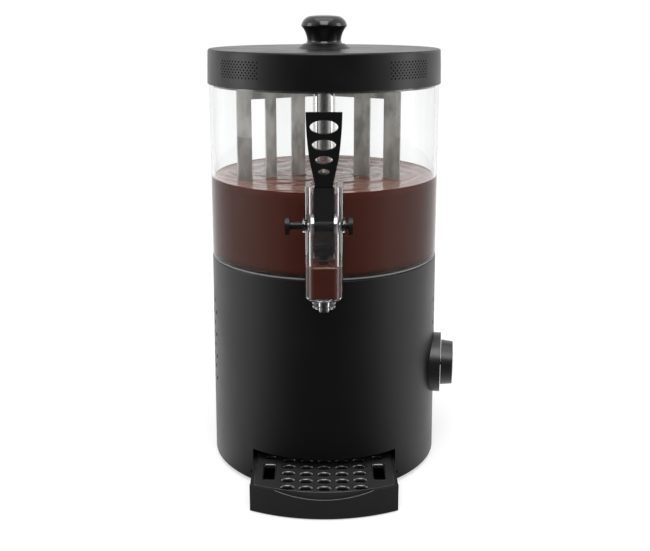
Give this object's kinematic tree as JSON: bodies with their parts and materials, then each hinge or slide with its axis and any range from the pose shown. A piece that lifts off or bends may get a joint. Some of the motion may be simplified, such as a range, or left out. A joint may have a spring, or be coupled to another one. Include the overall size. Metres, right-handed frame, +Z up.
{
  "type": "hot chocolate dispenser",
  "caption": "Round heated drink dispenser with a clear tank, turning stirrer, lift-off lid, lever tap, side dial and slide-out drip tray.",
  "frame": {"origin": "the point on the support surface under the axis of the round body", "axes": "+Z up along the body's axis; the tap and drip tray face -Y; the dial is on the +X side"},
  "size_m": [0.2317, 0.2623, 0.4149],
  "materials": {
    "base_black": "satin moulded",
    "lid_black": "satin moulded",
    "knob_black": "gloss",
    "lever_black": "semi-gloss",
    "tray_black": "satin moulded",
    "grid_black": "satin moulded",
    "inner_black": "matte",
    "clear_tank": "clear polycarbonate",
    "clear_tap": "clear polycarbonate",
    "plunger_clear": "smoked translucent",
    "chocolate": "glossy liquid",
    "steel": "brushed",
    "bright_steel": "polished",
    "aluminium": "machined",
    "zinc": "zinc plated",
    "rubber": "moulded",
    "silicone": "translucent silicone",
    "bush": "acetal",
    "motor": "painted",
    "gearcase": "glass filled",
    "gear": "acetal",
    "dial_grey": "satin",
    "dial_silver": "spun",
    "ceramic": "glazed"
  },
  "bodies": {
    "base": {"base_shell": "base_black", "bottom_plate": "inner_black", "feet": "rubber", "bottom_screws": "zinc", "heater_plate": "aluminium", "heating_element": "steel", "thermal_cutout": "ceramic", "thermostat_bulb": "bright_steel", "carrier_plate": "zinc", "carrier_screws": "zinc", "gearbox_case": "gearcase", "gearbox_cover": "gearcase", "shaft_socket": "bush", "motor_can": "motor", "motor_screws": "zinc", "riser_tube": "bright_steel", "riser_gasket": "silicone", "riser_nut": "steel", "lower_bush": "bush", "upper_bush": "bush", "tank": "clear_tank", "tank_gasket": "silicone", "outlet_gasket": "silicone", "union_nut": "clear_tap", "tap_barrel": "clear_tap", "tap_nozzle": "clear_tap", "tap_chocolate": "chocolate", "pivot_pin": "lever_black", "pin_cap": "lever_black", "pivot_spacers": "clear_tap", "dial_bezel": "dial_grey", "thermostat_body": "ceramic", "cord_gland": "rubber", "gland_nut": "inner_black", "terminal_block": "ceramic"},
    "stirrer": {"drive_shaft": "steel", "drive_gear": "gear", "thrust_washer": "bush", "stirrer_hub": "steel", "left_comb": "steel", "right_comb": "steel", "back_comb": "steel", "hub_nut": "steel", "chocolate_fill": "chocolate"},
    "pinion": {"motor_pinion": "gear", "motor_shaft": "steel"},
    "lid": {"lid_shell": "lid_black", "lid_knob": "knob_black", "knob_screw": "zinc", "lid_seal": "silicone"},
    "lever": {"tap_lever": "lever_black"},
    "plunger": {"tap_plunger": "plunger_clear", "plunger_collar": "rubber", "plunger_seal": "rubber"},
    "dial": {"dial_knob": "dial_grey", "dial_cap": "dial_silver", "thermostat_spindle": "steel"},
    "tray": {"drip_tray": "tray_black"},
    "grid": {"tray_grid": "grid_black"}
  },
  "joints": [
    {"name": "stirrer_spin", "type": "hinge", "parent": "base", "child": "stirrer", "pos_m": [0, 0, 0.3], "axis": [0, 0, 1], "continuous": true},
    {"name": "pinion_spin", "type": "hinge", "parent": "base", "child": "pinion", "pos_m": [0, 0.032, 0.14], "axis": [0, 0, 1], "continuous": true},
    {"name": "lid_lift", "type": "slide", "parent": "base", "child": "lid", "axis": [0, 0, 1], "range_m": [0, 0.08]},
    {"name": "lever_tilt", "type": "hinge", "parent": "base", "child": "lever", "pos_m": [0, -0.13, 0.2508], "axis": [1, 0, 0], "range_deg": [0, 15]},
    {"name": "plunger_lift", "type": "slide", "parent": "base", "child": "plunger", "axis": [0, 0, 1], "range_m": [0, 0.0026]},
    {"name": "dial_turn", "type": "hinge", "parent": "base", "child": "dial", "pos_m": [0.10893, -0.01531, 0.0896], "axis": [-0.9903, 0.1392, 0], "range_deg": [0, 270]},
    {"name": "tray_slide", "type": "slide", "parent": "base", "child": "tray", "axis": [0, -1, 0], "range_m": [0, 0.09]},
    {"name": "grid_lift", "type": "slide", "parent": "tray", "child": "grid", "axis": [0, 0, 1], "range_m": [0, 0.009]}
  ],
  "couplings": [
    {"joint": "pinion_spin", "follows": "stirrer_spin", "ratio": -3},
    {"joint": "plunger_lift", "follows": "lever_tilt", "m_per_rad": 0.0099}
  ]
}
